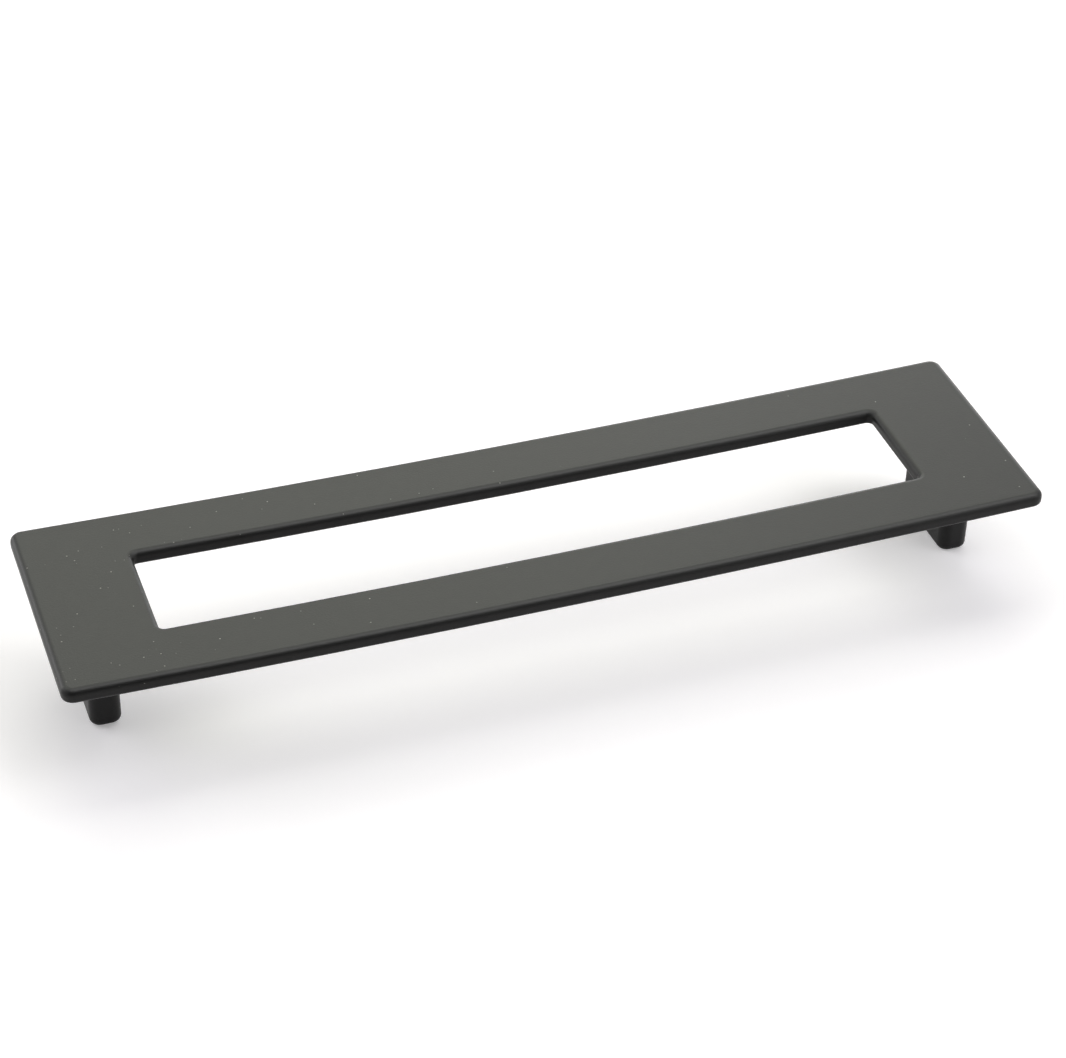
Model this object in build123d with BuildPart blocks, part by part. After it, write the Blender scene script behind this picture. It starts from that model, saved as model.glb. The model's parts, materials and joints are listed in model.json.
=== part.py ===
from build123d import *
import os
from math import radians, sqrt, tan

# Rectangular cabinet pull, cast in one piece: a thin frame plate with a long window, on two slim feet.
# +X runs along the plate, +Z points away from the furniture, and Z = 0 is the face it is screwed to.
# All lengths are in millimetres.

# Screws
screw_centres = 192.0
screw_diameter = 4.0
screw_hole_headroom = 8.0  # left solid between the hole's full bore and the plate's underside
drill_point_angle = 118.0

# Plate
end_overhang = 11.0  # from a screw's centre to the end of the plate
side_bar_width = 15.0
plate_thickness = 3.25
plate_corner_radius = 2.5
plate_dip = 1.2  # the middle of the plate lies this much nearer the furniture than its ends
projection = 25.2  # from the furniture to the top of the plate's ends
top_edge_radius = 1.5
lower_edge_radius = 0.9

# Window through the plate
window_setback = 12.0  # from a screw's centre to the end of the window
window_width = 25.0
window_corner_radius = 1.2

# Feet
foot_wall = 1.35  # beside the screw hole
foot_depth = 21.6
foot_corner_radius = 2.3
foot_edge_radius = 1.3
foot_root_radius = 0.8

# Sizes that follow from these
plate_length = screw_centres + 2 * end_overhang
plate_width = window_width + 2 * side_bar_width
window_length = screw_centres - 2 * window_setback
foot_width = screw_diameter + 2 * foot_wall
screw_radius = screw_diameter / 2

# The plate follows one long arc, lowest in the middle
half_length = plate_length / 2
middle_top = projection - plate_dip
arc_radius = (half_length**2 + plate_dip**2) / (2 * plate_dip)
rise_at_feet = arc_radius - sqrt(arc_radius**2 - (screw_centres / 2) ** 2)
foot_height = middle_top + rise_at_feet - plate_thickness
screw_hole_depth = foot_height - screw_hole_headroom
drill_point_depth = screw_radius / tan(radians(drill_point_angle / 2))

with BuildPart() as pull:
    # Bowed slab: the same arc above and below, one plate thickness apart
    with BuildSketch(Plane.XZ):
        with BuildLine():
            top_arc = ThreePointArc(
                (-half_length, projection),
                (0, middle_top),
                (half_length, projection),
            )
            lower_arc = ThreePointArc(
                (-half_length, projection - plate_thickness),
                (0, middle_top - plate_thickness),
                (half_length, projection - plate_thickness),
            )
            Line(top_arc @ 0, lower_arc @ 0)
            Line(top_arc @ 1, lower_arc @ 1)
        make_face()
    extrude(amount=plate_width / 2, both=True)
    fillet(pull.edges().filter_by(Axis.Z), plate_corner_radius)

    # Window
    with BuildSketch(Plane.XY):
        RectangleRounded(window_length, window_width, window_corner_radius)
    extrude(amount=projection, mode=Mode.SUBTRACT)

    # Soft edges round the outline and round the window, fuller on top than below
    fillet(pull.faces().sort_by(Axis.Z)[-1].edges(), top_edge_radius)
    fillet(pull.faces().sort_by(Axis.Z)[0].edges(), lower_edge_radius)

    # Feet, which run up into the middle of the plate's thickness
    with BuildSketch(Plane.XY):
        with GridLocations(screw_centres, 0, 2, 1):
            RectangleRounded(foot_width, foot_depth, foot_corner_radius)
    extrude(amount=foot_height + plate_thickness / 2)
    fillet(pull.edges(Select.NEW), foot_root_radius)
    fillet(pull.edges().group_by(Axis.Z)[0], foot_edge_radius)

    # Screw holes, drilled up into the feet and left with the point of the drill
    drilling_plane = Plane(origin=(0, 0, 0), x_dir=(1, 0, 0), z_dir=(0, 0, -1))
    with Locations(drilling_plane):
        with GridLocations(screw_centres, 0, 2, 1):
            Hole(screw_radius, depth=screw_hole_depth)
    with Locations(drilling_plane.offset(-screw_hole_depth)):
        with GridLocations(screw_centres, 0, 2, 1):
            Cone(
                bottom_radius=0,
                top_radius=screw_radius,
                height=drill_point_depth,
                align=(Align.CENTER, Align.CENTER, Align.MAX),
                mode=Mode.SUBTRACT,
            )

pull.part.label = "pull"

os.makedirs("parts", exist_ok=True)
export_step(pull.part, "parts/pull.step")
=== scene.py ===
"""Studio scene for a rectangular cabinet pull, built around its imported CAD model.

The casting keeps its CAD shape and takes a baked powder coat. Its two screw holes get their cut threads.
Every length is in metres, in the CAD model's own frame: +X along the plate, +Z away from the furniture.
"""

import json
import logging
import math
from dataclasses import dataclass, field
from enum import Enum
from typing import Any

import bpy
from mathutils import Matrix, Vector


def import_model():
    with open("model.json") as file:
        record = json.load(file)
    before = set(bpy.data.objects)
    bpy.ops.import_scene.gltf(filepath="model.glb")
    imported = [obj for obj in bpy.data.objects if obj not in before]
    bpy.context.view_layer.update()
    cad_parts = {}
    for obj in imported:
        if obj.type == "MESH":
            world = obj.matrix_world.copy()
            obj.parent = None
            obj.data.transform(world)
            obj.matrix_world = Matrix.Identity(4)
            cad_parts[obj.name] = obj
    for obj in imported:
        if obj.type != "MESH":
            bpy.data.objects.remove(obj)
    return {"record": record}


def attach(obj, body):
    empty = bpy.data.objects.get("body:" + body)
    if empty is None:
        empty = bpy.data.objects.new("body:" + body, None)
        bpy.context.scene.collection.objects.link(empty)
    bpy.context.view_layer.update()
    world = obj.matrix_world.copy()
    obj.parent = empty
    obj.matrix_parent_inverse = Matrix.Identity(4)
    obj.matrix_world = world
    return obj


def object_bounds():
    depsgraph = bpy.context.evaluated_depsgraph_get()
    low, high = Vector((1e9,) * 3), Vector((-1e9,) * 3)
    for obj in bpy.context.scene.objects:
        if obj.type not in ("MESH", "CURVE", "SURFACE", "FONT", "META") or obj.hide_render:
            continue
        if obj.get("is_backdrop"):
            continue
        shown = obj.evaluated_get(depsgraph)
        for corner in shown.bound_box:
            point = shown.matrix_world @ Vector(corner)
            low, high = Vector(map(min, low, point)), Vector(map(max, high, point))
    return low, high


log = logging.getLogger("rectangular_pull")

MM = 0.001
WHITE = "#ffffff"
WARM_WHITE = "#fcfff0"

# Sockets of a Mix node that mixes colours, by number, because those for other types bear the same names
MIX_SHARE, MIX_FIRST, MIX_SECOND = 0, 6, 7
MIX_RESULT = 2

Box = tuple[Vector, Vector]


class Body(Enum):
    """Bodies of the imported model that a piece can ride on."""

    WHOLE = "root"


class RayKind(Enum):
    """Rays that look at a surface, by the Light Path output that tells them."""

    CAMERA = "Is Camera Ray"
    GLOSSY = "Is Glossy Ray"
    TRANSMISSION = "Is Transmission Ray"


def linear(code: str) -> tuple[float, float, float, float]:
    """Turns an sRGB hex colour into a linear one.

    Args:
        code: The colour as #rrggbb.

    Returns:
        Red, green, blue and an alpha of 1, in linear light.
    """
    channels = [int(code[start : start + 2], 16) / 255 for start in (1, 3, 5)]
    red, green, blue = (c / 12.92 if c <= 0.04045 else ((c + 0.055) / 1.055) ** 2.4 for c in channels)
    return (red, green, blue, 1.0)


def add_node(
    tree: bpy.types.NodeTree,
    kind: str,
    settings: dict[str, Any] | None = None,
    inputs: dict[str | int, Any] | None = None,
) -> bpy.types.Node:
    """Adds a node with its settings and whatever feeds its inputs.

    Args:
        tree: The tree that the node goes into.
        kind: The type of node.
        settings: Property values, by property name.
        inputs: A constant or another node's output for each input, by its name or number.

    Returns:
        The new node.
    """
    node = tree.nodes.new(kind)
    for name, value in (settings or {}).items():
        setattr(node, name, value)
    for key, value in (inputs or {}).items():
        if isinstance(value, bpy.types.NodeSocket):
            tree.links.new(value, node.inputs[key])
        else:
            node.inputs[key].default_value = value
    return node


def empty_material(name: str) -> bpy.types.Material:
    """Makes a node material with nothing in its tree.

    Args:
        name: The material's name.

    Returns:
        The new material.
    """
    material = bpy.data.materials.new(name)
    material.use_nodes = True
    material.node_tree.nodes.clear()
    return material


def looked_at(tree: bpy.types.NodeTree) -> bpy.types.NodeSocket:
    """Adds nodes that tell rays that look at a surface from rays that only carry light from it.

    Args:
        tree: The shader tree that asks.

    Returns:
        An output that is 1 for the kinds of ray in RayKind, and 0 for the rest.
    """
    path = add_node(tree, "ShaderNodeLightPath")
    total, *others = (path.outputs[kind.value] for kind in RayKind)
    for flag in others:
        total = add_node(tree, "ShaderNodeMath", {"operation": "MAXIMUM"}, {0: total, 1: flag}).outputs[0]
    return total


def flat_sheet(name: str, width: float, height: float, level: float = 0.0) -> bpy.types.Mesh:
    """Makes a rectangle round the Z axis that faces up.

    Args:
        name: The mesh's name.
        width: Its size along X.
        height: Its size along Y.
        level: Where it lies along Z.

    Returns:
        The new mesh.
    """
    outline = [(x * width / 2, y * height / 2, level) for x, y in ((-1, -1), (1, -1), (1, 1), (-1, 1))]
    mesh = bpy.data.meshes.new(name)
    mesh.from_pydata(outline, [], [range(len(outline))])
    return mesh


@dataclass(frozen=True)
class PowderCoat:
    """Matte black polyester powder coat, sprayed and baked on a zinc casting.

    To the eye it is a near-black skin whose only light is a broad soft sheen. The sheen is broken by the fine
    grit of the melted powder and a faint orange peel, and here and there a nib of dust stands in it.
    """

    name: str = "matte_black_powder_coat"
    thin_colour: str = "#181817"
    thick_colour: str = "#131313"
    specular_level: float = 0.215
    roughness_low: float = 0.38
    roughness_high: float = 0.46
    peel_size: float = 2.6 * MM
    peel_detail: float = 2.0
    peel_height: float = 0.006 * MM
    # Real powder grit is a few hundredths of a millimetre across, and is drawn coarser so that it shows
    grit_size: float = 0.4 * MM
    grit_detail: float = 1.0
    grit_height: float = 0.018 * MM
    nib_spacing: float = 1.6 * MM
    nib_radius: float = 0.2 * MM
    # Share of its radius within which a nib is at its full height
    nib_core: float = 0.5
    nib_height: float = 0.02 * MM
    nib_colour: str = "#84847e"
    # Share of the nib places that are taken, at the left end and from the middle rightwards
    nib_share_left: float = 0.6
    nib_share_right: float = 0.14
    # Nibs lie in drifts of about this size, where a noise is high, and some are fainter than others
    nib_drift: float = 9.0 * MM
    nib_drift_detail: float = 1.0
    nib_drift_low: float = 0.35
    nib_drift_high: float = 0.7
    nib_faintest: float = 0.25
    # Dust settles on the top of the plate, which is bowed by a little less than this
    nib_layer: float = 1.5 * MM

    def material(self, box: Box) -> bpy.types.Material:
        """Builds the coat.

        Args:
            box: Lowest and highest corners of the object that it covers.

        Returns:
            The finished material.
        """
        material = empty_material(self.name)
        tree = material.node_tree
        place = add_node(tree, "ShaderNodeTexCoord").outputs["Object"]
        peel, grit = (
            add_node(
                tree, "ShaderNodeTexNoise", None, {"Vector": place, "Scale": 1 / size, "Detail": detail}
            ).outputs["Fac"]
            for size, detail in ((self.peel_size, self.peel_detail), (self.grit_size, self.grit_detail))
        )
        nib = self.nib_mask(tree, place, box)
        skin = add_node(
            tree,
            "ShaderNodeMix",
            {"data_type": "RGBA"},
            {
                MIX_SHARE: peel,
                MIX_FIRST: linear(self.thick_colour),
                MIX_SECOND: linear(self.thin_colour),
            },
        ).outputs[MIX_RESULT]
        colour = add_node(
            tree,
            "ShaderNodeMix",
            {"data_type": "RGBA"},
            {MIX_SHARE: nib, MIX_FIRST: skin, MIX_SECOND: linear(self.nib_colour)},
        ).outputs[MIX_RESULT]
        roughness = add_node(
            tree,
            "ShaderNodeMapRange",
            None,
            {"Value": grit, "To Min": self.roughness_low, "To Max": self.roughness_high},
        ).outputs[0]
        relief = None
        for height, depth in ((peel, self.peel_height), (grit, self.grit_height), (nib, self.nib_height)):
            inputs = {"Height": height, "Distance": depth, "Strength": 1.0}
            if relief is not None:
                inputs["Normal"] = relief
            relief = add_node(tree, "ShaderNodeBump", None, inputs).outputs["Normal"]
        shader = add_node(
            tree,
            "ShaderNodeBsdfPrincipled",
            None,
            {
                "Base Color": colour,
                "Roughness": roughness,
                "Specular IOR Level": self.specular_level,
                "Normal": relief,
            },
        )
        add_node(tree, "ShaderNodeOutputMaterial", None, {"Surface": shader.outputs["BSDF"]})
        return material

    def nib_mask(
        self, tree: bpy.types.NodeTree, place: bpy.types.NodeSocket, box: Box
    ) -> bpy.types.NodeSocket:
        """Adds nodes that mark the nibs of dust on top, which lie thicker towards the left end.

        Args:
            tree: The coat's tree.
            place: Object coordinates.
            box: Lowest and highest corners of the object.

        Returns:
            An output that is up to 1 on a nib and 0 on clean coat.
        """
        low, high = box
        cells = add_node(tree, "ShaderNodeTexVoronoi", None, {"Vector": place, "Scale": 1 / self.nib_spacing})
        # Distances come back in cells, so the nib's radius is given in cells too
        edge = self.nib_radius / self.nib_spacing
        dot = add_node(
            tree,
            "ShaderNodeMapRange",
            None,
            {
                "Value": cells.outputs["Distance"],
                "From Min": edge,
                "From Max": edge * self.nib_core,
            },
        ).outputs[0]
        spot = add_node(tree, "ShaderNodeSeparateXYZ", None, {0: place}).outputs
        share = add_node(
            tree,
            "ShaderNodeMapRange",
            None,
            {
                "Value": spot["X"],
                "From Min": low.x,
                "From Max": (low.x + high.x) / 2,
                "To Min": self.nib_share_left,
                "To Max": self.nib_share_right,
            },
        ).outputs[0]
        drift = add_node(
            tree,
            "ShaderNodeTexNoise",
            None,
            {"Vector": place, "Scale": 1 / self.nib_drift, "Detail": self.nib_drift_detail},
        ).outputs["Fac"]
        crowd = add_node(
            tree,
            "ShaderNodeMapRange",
            None,
            {"Value": drift, "From Min": self.nib_drift_low, "From Max": self.nib_drift_high},
        ).outputs[0]
        chance = add_node(tree, "ShaderNodeMath", {"operation": "MULTIPLY"}, {0: share, 1: crowd}).outputs[0]
        lot = add_node(tree, "ShaderNodeSeparateColor", None, {0: cells.outputs["Color"]}).outputs
        taken = add_node(
            tree, "ShaderNodeMath", {"operation": "LESS_THAN"}, {0: lot[0], 1: chance}
        ).outputs[0]
        body = add_node(
            tree, "ShaderNodeMapRange", None, {"Value": lot[1], "To Min": self.nib_faintest, "To Max": 1.0}
        ).outputs[0]
        on_top = add_node(
            tree, "ShaderNodeMath", {"operation": "GREATER_THAN"}, {0: spot["Z"], 1: high.z - self.nib_layer}
        ).outputs[0]
        mask = dot
        for factor in (taken, body, on_top):
            mask = add_node(
                tree, "ShaderNodeMath", {"operation": "MULTIPLY"}, {0: mask, 1: factor}
            ).outputs[0]
        return mask


@dataclass(frozen=True)
class TappedZinc:
    """Bare zinc alloy as a tap leaves it: grey, bright on the crests and torn along the cut."""

    name: str = "tapped_zinc_alloy"
    crest_colour: str = "#b9b9b6"
    flank_colour: str = "#8d8e8c"
    roughness: float = 0.38
    tear_size: float = 0.3 * MM
    tear_detail: float = 3.0
    tear_height: float = 0.006 * MM

    def material(self) -> bpy.types.Material:
        """Builds the bare metal.

        Returns:
            The finished material.
        """
        material = empty_material(self.name)
        tree = material.node_tree
        place = add_node(tree, "ShaderNodeTexCoord").outputs["Object"]
        tear = add_node(
            tree,
            "ShaderNodeTexNoise",
            None,
            {"Vector": place, "Scale": 1 / self.tear_size, "Detail": self.tear_detail},
        ).outputs["Fac"]
        colour = add_node(
            tree,
            "ShaderNodeMix",
            {"data_type": "RGBA"},
            {
                MIX_SHARE: tear,
                MIX_FIRST: linear(self.flank_colour),
                MIX_SECOND: linear(self.crest_colour),
            },
        ).outputs[MIX_RESULT]
        relief = add_node(
            tree, "ShaderNodeBump", None, {"Height": tear, "Distance": self.tear_height, "Strength": 1.0}
        ).outputs["Normal"]
        shader = add_node(
            tree,
            "ShaderNodeBsdfPrincipled",
            None,
            {"Base Color": colour, "Metallic": 1.0, "Roughness": self.roughness, "Normal": relief},
        )
        add_node(tree, "ShaderNodeOutputMaterial", None, {"Surface": shader.outputs["BSDF"]})
        return material


@dataclass(frozen=True)
class PaperSweep:
    """Matte white background paper, with a soft shadow near the object and plain white further off."""

    name: str = "matte_white_paper"
    colour: str = "#efecf1"
    # Share of plain white that is added for a ray that looks at the paper, which grows to 1 far off
    near_lift: float = 0.29
    near: float = 0.16
    far: float = 0.55

    def material(self) -> bpy.types.Material:
        """Builds the paper.

        Returns:
            The finished material.
        """
        material = empty_material(self.name)
        tree = material.node_tree
        place = add_node(tree, "ShaderNodeTexCoord").outputs["Object"]
        distance = add_node(
            tree, "ShaderNodeVectorMath", {"operation": "LENGTH"}, {0: place}
        ).outputs["Value"]
        lift = add_node(
            tree,
            "ShaderNodeMapRange",
            {"interpolation_type": "SMOOTHSTEP"},
            {
                "Value": distance,
                "From Min": self.near,
                "From Max": self.far,
                "To Min": self.near_lift,
                "To Max": 1.0,
            },
        ).outputs[0]
        strength = add_node(
            tree, "ShaderNodeMath", {"operation": "MULTIPLY"}, {0: lift, 1: looked_at(tree)}
        ).outputs[0]
        sheet = add_node(tree, "ShaderNodeBsdfDiffuse", None, {"Color": linear(self.colour)})
        white = add_node(tree, "ShaderNodeEmission", None, {"Strength": strength})
        both = add_node(tree, "ShaderNodeAddShader", None, {0: sheet.outputs[0], 1: white.outputs[0]})
        add_node(tree, "ShaderNodeOutputMaterial", None, {"Surface": both.outputs[0]})
        return material


@dataclass(frozen=True)
class BlackFelt:
    """Black felt, which takes in nearly all the light that reaches it."""

    name: str = "black_felt"
    colour: str = "#161616"

    def material(self) -> bpy.types.Material:
        """Builds the felt.

        Returns:
            The finished material.
        """
        material = empty_material(self.name)
        tree = material.node_tree
        nap = add_node(tree, "ShaderNodeBsdfDiffuse", None, {"Color": linear(self.colour)})
        add_node(tree, "ShaderNodeOutputMaterial", None, {"Surface": nap.outputs[0]})
        return material


@dataclass
class PullCasting:
    """The casting itself: a thin bowed frame plate on two slim feet, whose shape is the CAD node's."""

    node: str = "pull"
    coat: PowderCoat = field(default_factory=PowderCoat)

    def dress(self, box: Box) -> bpy.types.Object:
        """Gives the CAD node its coat.

        Args:
            box: Lowest and highest corners of the CAD model.

        Returns:
            The node's object.
        """
        casting = bpy.data.objects[self.node]
        material = self.coat.material(box)
        for slot in casting.material_slots:
            slot.material = material
        return casting


@dataclass
class TappedThreads:
    """The threads cut in the two screw holes, a coarse 4 mm screw's."""

    screw_centres: float
    holes: int = 2
    name: str = "tapped_threads"
    pitch: float = 0.7 * MM
    root_radius: float = 2.02 * MM
    crest_radius: float = 1.64 * MM
    depth: float = 12.0 * MM
    steps_per_turn: int = 32
    # Widths of the ridge at its crest and at its root, as shares of the pitch
    crest_share: float = 0.16
    root_share: float = 0.86
    metal: TappedZinc = field(default_factory=TappedZinc)

    def node_tree(self) -> tuple[bpy.types.NodeTree, dict[str, str]]:
        """Builds the tree that winds a ridge up each hole.

        Returns:
            The tree, and the identifier of each named input.
        """
        tree = bpy.data.node_groups.new("wind_threads", "GeometryNodeTree")
        kinds = {
            "Screw Centres": "NodeSocketFloat",
            "Pitch": "NodeSocketFloat",
            "Turns": "NodeSocketFloat",
            "Steps per Turn": "NodeSocketInt",
            "Root Radius": "NodeSocketFloat",
            "Crest Radius": "NodeSocketFloat",
            "Crest Width": "NodeSocketFloat",
            "Root Width": "NodeSocketFloat",
            "Metal": "NodeSocketMaterial",
        }
        sockets = {
            name: tree.interface.new_socket(name, in_out="INPUT", socket_type=kind).identifier
            for name, kind in kinds.items()
        }
        tree.interface.new_socket("Geometry", in_out="OUTPUT", socket_type="NodeSocketGeometry")
        given = add_node(tree, "NodeGroupInput").outputs
        ridge = add_node(
            tree,
            "ShaderNodeMath",
            {"operation": "SUBTRACT"},
            {0: given["Root Radius"], 1: given["Crest Radius"]},
        ).outputs[0]
        both = add_node(
            tree, "ShaderNodeMath", {"operation": "ADD"}, {0: given["Root Radius"], 1: given["Crest Radius"]}
        ).outputs[0]
        middle = add_node(tree, "ShaderNodeMath", {"operation": "MULTIPLY"}, {0: both, 1: 0.5}).outputs[0]
        rise = add_node(
            tree, "ShaderNodeMath", {"operation": "MULTIPLY"}, {0: given["Pitch"], 1: given["Turns"]}
        ).outputs[0]
        helix = add_node(
            tree,
            "GeometryNodeCurveSpiral",
            None,
            {
                "Resolution": given["Steps per Turn"],
                "Rotations": given["Turns"],
                "Start Radius": middle,
                "End Radius": middle,
                "Height": rise,
                "Reverse": True,
            },
        ).outputs[0]
        upright = add_node(tree, "GeometryNodeSetCurveNormal", {"mode": "Z_UP"}, {"Curve": helix}).outputs[0]
        profile = add_node(
            tree,
            "GeometryNodeCurvePrimitiveQuadrilateral",
            {"mode": "TRAPEZOID"},
            {
                "Height": ridge,
                "Bottom Width": given["Root Width"],
                "Top Width": given["Crest Width"],
                "Offset": 0.0,
            },
        ).outputs[0]
        # A quarter turn points the ridge's crest at the axis of the hole
        section = add_node(
            tree, "GeometryNodeTransform", None, {"Geometry": profile, "Rotation": (0.0, 0.0, math.pi / 2)}
        ).outputs[0]
        thread = add_node(
            tree,
            "GeometryNodeCurveToMesh",
            None,
            {"Curve": upright, "Profile Curve": section, "Fill Caps": True},
        ).outputs[0]
        offset = add_node(tree, "ShaderNodeCombineXYZ", None, {"X": given["Screw Centres"]}).outputs[0]
        half = add_node(
            tree, "ShaderNodeMath", {"operation": "MULTIPLY"}, {0: given["Screw Centres"], 1: -0.5}
        ).outputs[0]
        # The first turn starts one pitch up from the mouth of the hole
        start = add_node(tree, "ShaderNodeCombineXYZ", None, {"X": half, "Z": given["Pitch"]}).outputs[0]
        holes = add_node(
            tree,
            "GeometryNodeMeshLine",
            {"mode": "OFFSET"},
            {"Count": self.holes, "Start Location": start, "Offset": offset},
        ).outputs[0]
        placed = add_node(
            tree, "GeometryNodeInstanceOnPoints", None, {"Points": holes, "Instance": thread}
        ).outputs[0]
        real = add_node(tree, "GeometryNodeRealizeInstances", None, {"Geometry": placed}).outputs[0]
        dressed = add_node(
            tree, "GeometryNodeSetMaterial", None, {"Geometry": real, "Material": given["Metal"]}
        ).outputs[0]
        add_node(tree, "NodeGroupOutput", None, {"Geometry": dressed})
        return tree, sockets

    def build(self) -> bpy.types.Object:
        """Winds the threads and turns them into one plain mesh.

        Returns:
            The threads' object.
        """
        metal = self.metal.material()
        tree, sockets = self.node_tree()
        host = bpy.data.objects.new(self.name, bpy.data.meshes.new(self.name))
        bpy.context.collection.objects.link(host)
        modifier = host.modifiers.new("wind", "NODES")
        modifier.node_group = tree
        values = {
            "Screw Centres": self.screw_centres,
            "Pitch": self.pitch,
            "Turns": self.depth / self.pitch,
            "Steps per Turn": self.steps_per_turn,
            "Root Radius": self.root_radius,
            "Crest Radius": self.crest_radius,
            "Crest Width": self.crest_share * self.pitch,
            "Root Width": self.root_share * self.pitch,
            "Metal": metal,
        }
        for name, value in values.items():
            modifier[sockets[name]] = value
        graph = bpy.context.evaluated_depsgraph_get()
        mesh = bpy.data.meshes.new_from_object(host.evaluated_get(graph))
        host.modifiers.remove(modifier)
        host.data = mesh
        mesh.name = self.name
        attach(host, Body.WHOLE.value)
        return host


@dataclass
class StudioFloor:
    """The sheet of background paper that the pull stands on."""

    name: str = "studio_floor"
    side: float = 6.0
    paper: PaperSweep = field(default_factory=PaperSweep)

    def build(self, level: float) -> bpy.types.Object:
        """Lays the sheet flat under the object.

        Args:
            level: Height of the lowest point of the object.

        Returns:
            The floor's object.
        """
        mesh = flat_sheet(self.name, self.side, self.side, level)
        mesh.materials.append(self.paper.material())
        floor = bpy.data.objects.new(self.name, mesh)
        bpy.context.collection.objects.link(floor)
        floor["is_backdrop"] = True
        return floor


@dataclass(kw_only=True)
class StudioPanel:
    """A flat panel on a stand, turned to face the object and kept out of the picture.

    Its azimuth is counted from +X towards +Y and its elevation from the paper upwards, both in degrees.
    """

    name: str
    azimuth: float
    elevation: float
    distance: float = 1.2
    width: float
    height: float

    def hang(self, data: bpy.types.Light | bpy.types.Mesh) -> bpy.types.Object:
        """Hangs a lamp or a card in the panel's place.

        Args:
            data: The lamp or the mesh of the card, which faces down its own -Z.

        Returns:
            The panel's object.
        """
        turn, rise = math.radians(self.azimuth), math.radians(self.elevation)
        toward = Vector((math.cos(rise) * math.cos(turn), math.cos(rise) * math.sin(turn), math.sin(rise)))
        panel = bpy.data.objects.new(self.name, data)
        panel.location = toward * self.distance
        panel.rotation_euler = toward.to_track_quat("Z", "Y").to_euler()
        panel.visible_camera = False
        bpy.context.collection.objects.link(panel)
        return panel


@dataclass(kw_only=True)
class SoftBox(StudioPanel):
    """A diffuser over a lamp."""

    radiance: float
    colour: str = WHITE
    # A box that is shaded from the paper shows only as sheen on the coat
    on_paper: bool = True

    def build(self) -> bpy.types.Object:
        """Hangs the softbox.

        Returns:
            The lamp's object.
        """
        lamp = bpy.data.lights.new(self.name, "AREA")
        lamp.shape = "RECTANGLE"
        lamp.size = self.width
        lamp.size_y = self.height
        lamp.color = linear(self.colour)[:3]
        lamp.energy = self.radiance * math.pi * self.width * self.height
        box = self.hang(lamp)
        box.visible_diffuse = self.on_paper
        return box


@dataclass(kw_only=True)
class BlackFlag(StudioPanel):
    """A card of black felt, which keeps the side it stands on dark in the object's edges."""

    felt: BlackFelt = field(default_factory=BlackFelt)

    def build(self) -> bpy.types.Object:
        """Hangs the card.

        Returns:
            The card's object.
        """
        mesh = flat_sheet(self.name, self.width, self.height)
        mesh.materials.append(self.felt.material())
        flag = self.hang(mesh)
        flag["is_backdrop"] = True
        return flag


@dataclass
class StudioAir:
    """The white room round the table: plain white to look at, with a lower level as light."""

    name: str = "white_room"
    colour: str = WHITE
    ambient: float = 0.05
    seen: float = 1.0

    def build(self) -> bpy.types.World:
        """Makes the world.

        Returns:
            The scene's world.
        """
        world = bpy.data.worlds.new(self.name)
        world.use_nodes = True
        tree = world.node_tree
        tree.nodes.clear()
        strength = add_node(
            tree,
            "ShaderNodeMapRange",
            None,
            {"Value": looked_at(tree), "To Min": self.ambient, "To Max": self.seen},
        ).outputs[0]
        air = add_node(
            tree, "ShaderNodeBackground", None, {"Color": linear(self.colour), "Strength": strength}
        )
        add_node(tree, "ShaderNodeOutputWorld", None, {"Surface": air.outputs[0]})
        bpy.context.scene.world = world
        return world


@dataclass
class ProductCamera:
    """A long lens that looks down on the pull from its near left."""

    name: str = "product_camera"
    stand: tuple[float, float, float] = (-167.958 * MM, -461.602 * MM, 396.895 * MM)
    aim: tuple[float, float, float] = (-2.201 * MM, -5.497 * MM, 25.2 * MM)
    roll: float = math.radians(1.3185)
    # Blender takes these two in millimetres
    focal_length: float = 98.192
    sensor_width: float = 36.0
    nearest: float = 0.01
    farthest: float = 50.0

    def build(self) -> bpy.types.Object:
        """Sets the camera up and makes it the scene's own.

        Returns:
            The camera's object.
        """
        lens = bpy.data.cameras.new(self.name)
        lens.sensor_fit = "HORIZONTAL"
        lens.sensor_width = self.sensor_width
        lens.lens = self.focal_length
        lens.clip_start = self.nearest
        lens.clip_end = self.farthest
        camera = bpy.data.objects.new(self.name, lens)
        sight = Vector(self.aim) - Vector(self.stand)
        turn = sight.to_track_quat("-Z", "Y").to_matrix() @ Matrix.Rotation(self.roll, 3, "Z")
        camera.matrix_world = Matrix.Translation(self.stand) @ turn.to_4x4()
        bpy.context.collection.objects.link(camera)
        bpy.context.scene.camera = camera
        return camera


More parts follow.
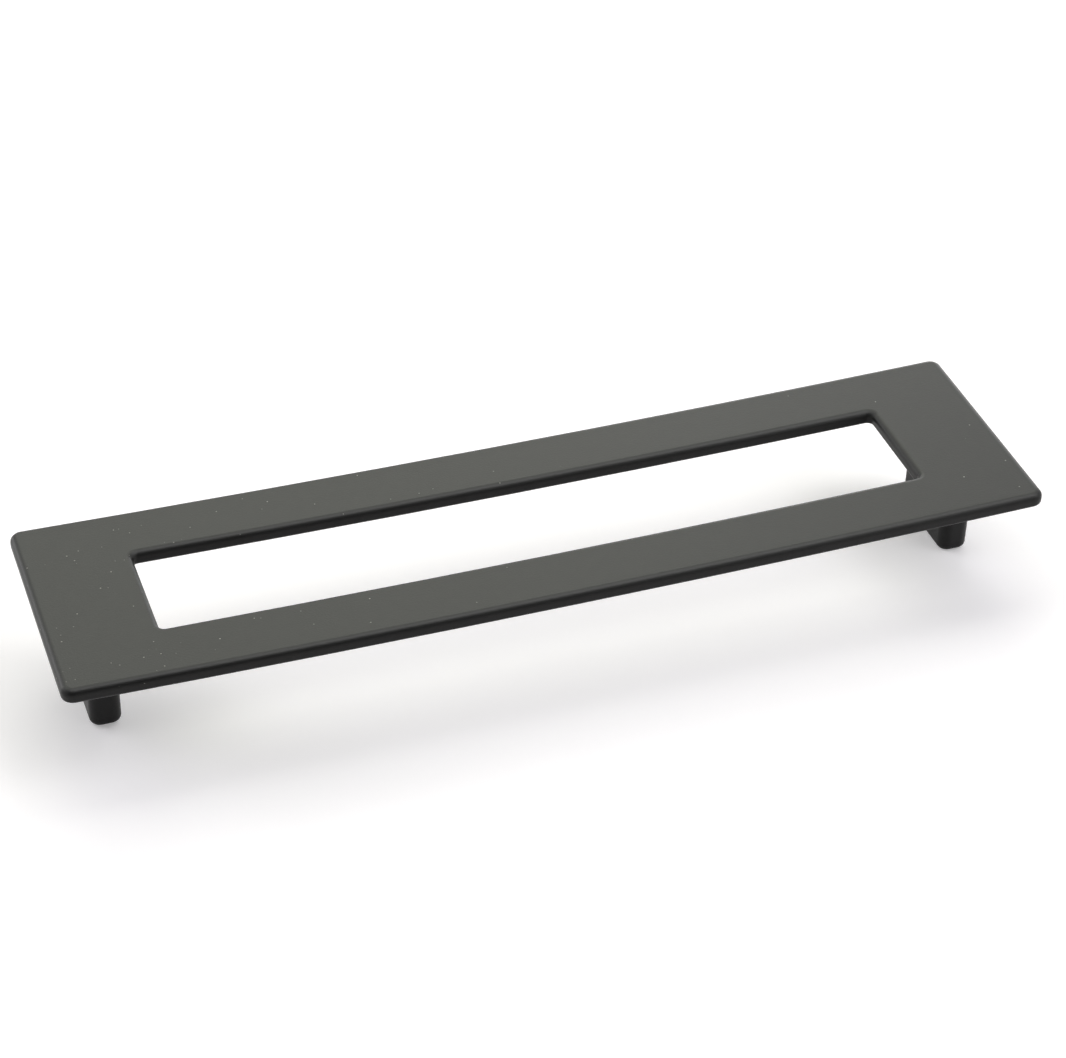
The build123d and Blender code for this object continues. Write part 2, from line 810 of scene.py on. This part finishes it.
def studio_fittings() -> tuple[SoftBox | BlackFlag, ...]:
    """Lists the lamps and the card that stand round the table.

    Returns:
        The fittings, in the order in which they are hung.
    """
    return (
        # The broad sheen on the top of the plate, strongest along its middle
        SoftBox(
            name="back_strip",
            azimuth=86.0,
            elevation=56.0,
            width=1.5,
            height=0.95,
            radiance=1.8,
            colour=WARM_WHITE,
        ),
        SoftBox(
            name="back_box",
            azimuth=82.0,
            elevation=36.0,
            width=0.75,
            height=0.5,
            radiance=2.75,
            colour=WARM_WHITE,
        ),
        # The sheen that runs over the front edges as they turn down
        SoftBox(
            name="top_card",
            azimuth=-82.0,
            elevation=80.0,
            width=1.3,
            height=0.8,
            radiance=4.6,
            on_paper=False,
        ),
        # Light from the sides, which softens the shadow on the paper
        SoftBox(name="left_box", azimuth=152.0, elevation=40.0, width=0.75, height=0.75, radiance=2.2),
        SoftBox(name="right_box", azimuth=0.0, elevation=55.0, width=0.85, height=0.85, radiance=1.5),
        SoftBox(name="right_front_box", azimuth=-40.0, elevation=44.0, width=0.85, height=0.85, radiance=2.3),
        # Bright lines along the left end and along the left side of the window
        SoftBox(name="left_back_box", azimuth=134.0, elevation=11.0, width=0.7, height=0.42, radiance=3.5),
        SoftBox(
            name="low_right_box",
            azimuth=53.0,
            elevation=11.0,
            distance=0.57,
            width=0.36,
            height=0.18,
            radiance=3.9,
        ),
        # Dark in the edges and feet that face the camera
        BlackFlag(
            name="camera_side_flag", azimuth=-106.0, elevation=36.0, distance=0.85, width=1.2, height=1.0
        ),
    )


def screw_spacing(record: dict[str, Any]) -> float:
    """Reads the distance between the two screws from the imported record.

    Args:
        record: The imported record.

    Returns:
        The distance in metres.
    """
    mounts = record["mounts"]
    pattern = next(mount for mount in mounts if mount["name"] == "screw_holes")
    return float(pattern["dims"]["spacing_x_mm"]) * MM


def main() -> None:
    """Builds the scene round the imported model."""
    logging.basicConfig(level=logging.INFO, format="%(name)s: %(message)s")
    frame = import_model()
    cad_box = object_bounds()
    bpy.context.scene.view_settings.view_transform = "Standard"
    low, high = (Vector(corner) for corner in cad_box)

    casting = PullCasting().dress((low, high))
    log.info("coated %s", casting.name)
    threads = TappedThreads(screw_centres=screw_spacing(frame["record"])).build()
    log.info("wound %s, %d faces", threads.name, len(threads.data.polygons))

    floor = StudioFloor().build(low.z)
    log.info("laid %s", floor.name)
    for fitting in studio_fittings():
        log.info("hung %s", fitting.build().name)
    StudioAir().build()
    ProductCamera().build()


if __name__ == "__main__":
    main()
